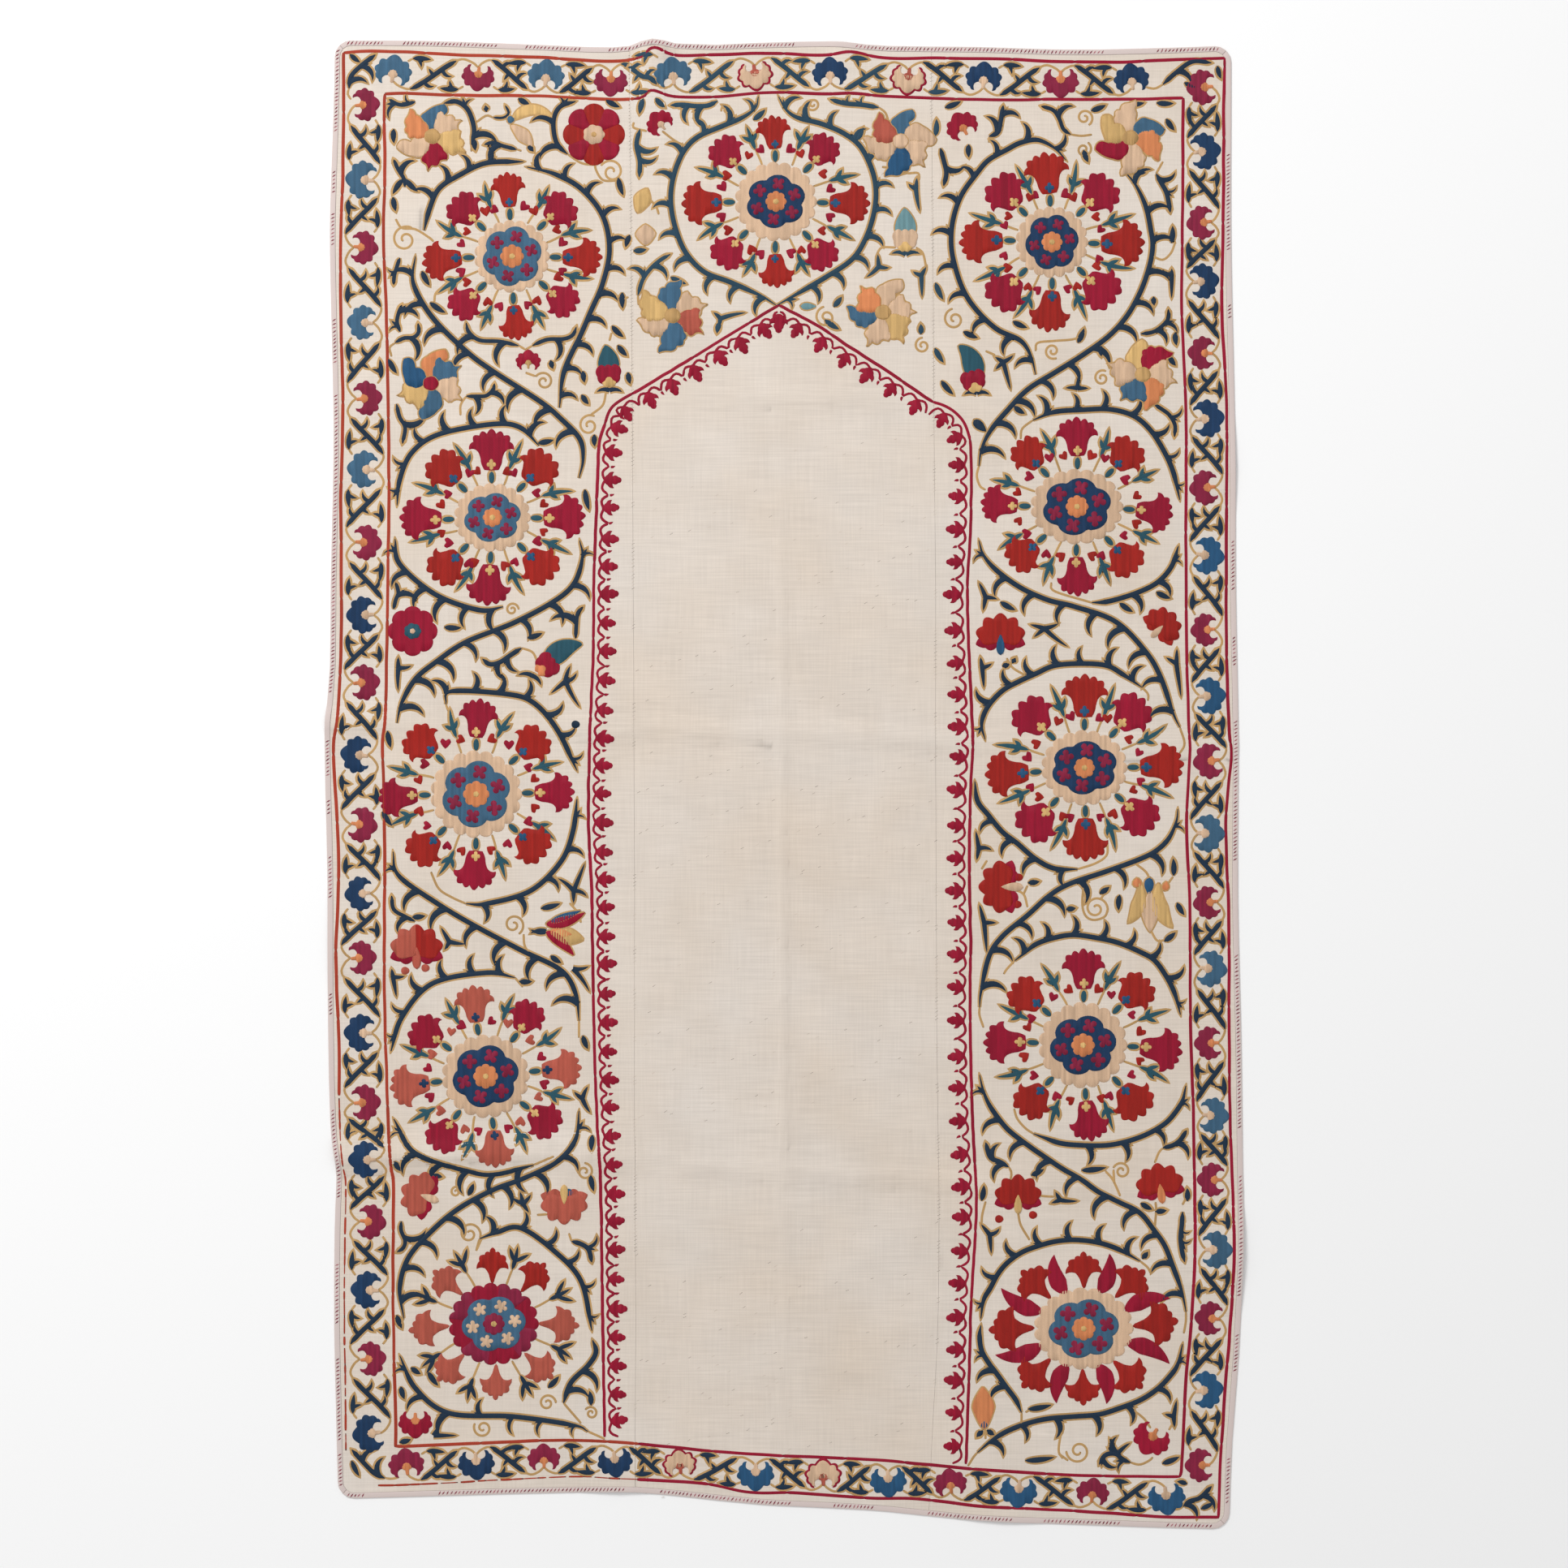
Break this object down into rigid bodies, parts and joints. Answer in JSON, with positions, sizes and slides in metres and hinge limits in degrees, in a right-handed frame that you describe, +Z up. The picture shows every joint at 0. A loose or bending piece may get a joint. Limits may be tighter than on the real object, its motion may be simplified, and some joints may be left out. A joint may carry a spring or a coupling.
{
  "type": "suzani embroidered cloth",
  "caption": "Flat embroidered cloth of three sewn loom widths with a braided edge, an arched niche in a flowered field and border, laid face up with soft folds.",
  "frame": {"origin": "on the resting surface, under the middle of the cloth's outline", "axes": "+Z up out of the embroidered face, +Y along the cloth's length to the point of the niche, +X across the three widths to the right as the face is seen"},
  "size_m": [1.3584, 2.2015, 0.0108],
  "materials": {
    "cotton": "hand-woven undyed cotton, matt, with silk embroidery on its face",
    "edging_braid": "narrow hand-made silk braid, red and white, softly lustrous"
  },
  "bodies": {
    "root": {"panel_left": "cotton", "panel_centre": "cotton", "panel_right": "cotton", "braid_left": "edging_braid", "braid_right": "edging_braid", "braid_top": "edging_braid", "braid_bottom": "edging_braid"}
  },
  "joints": []
}
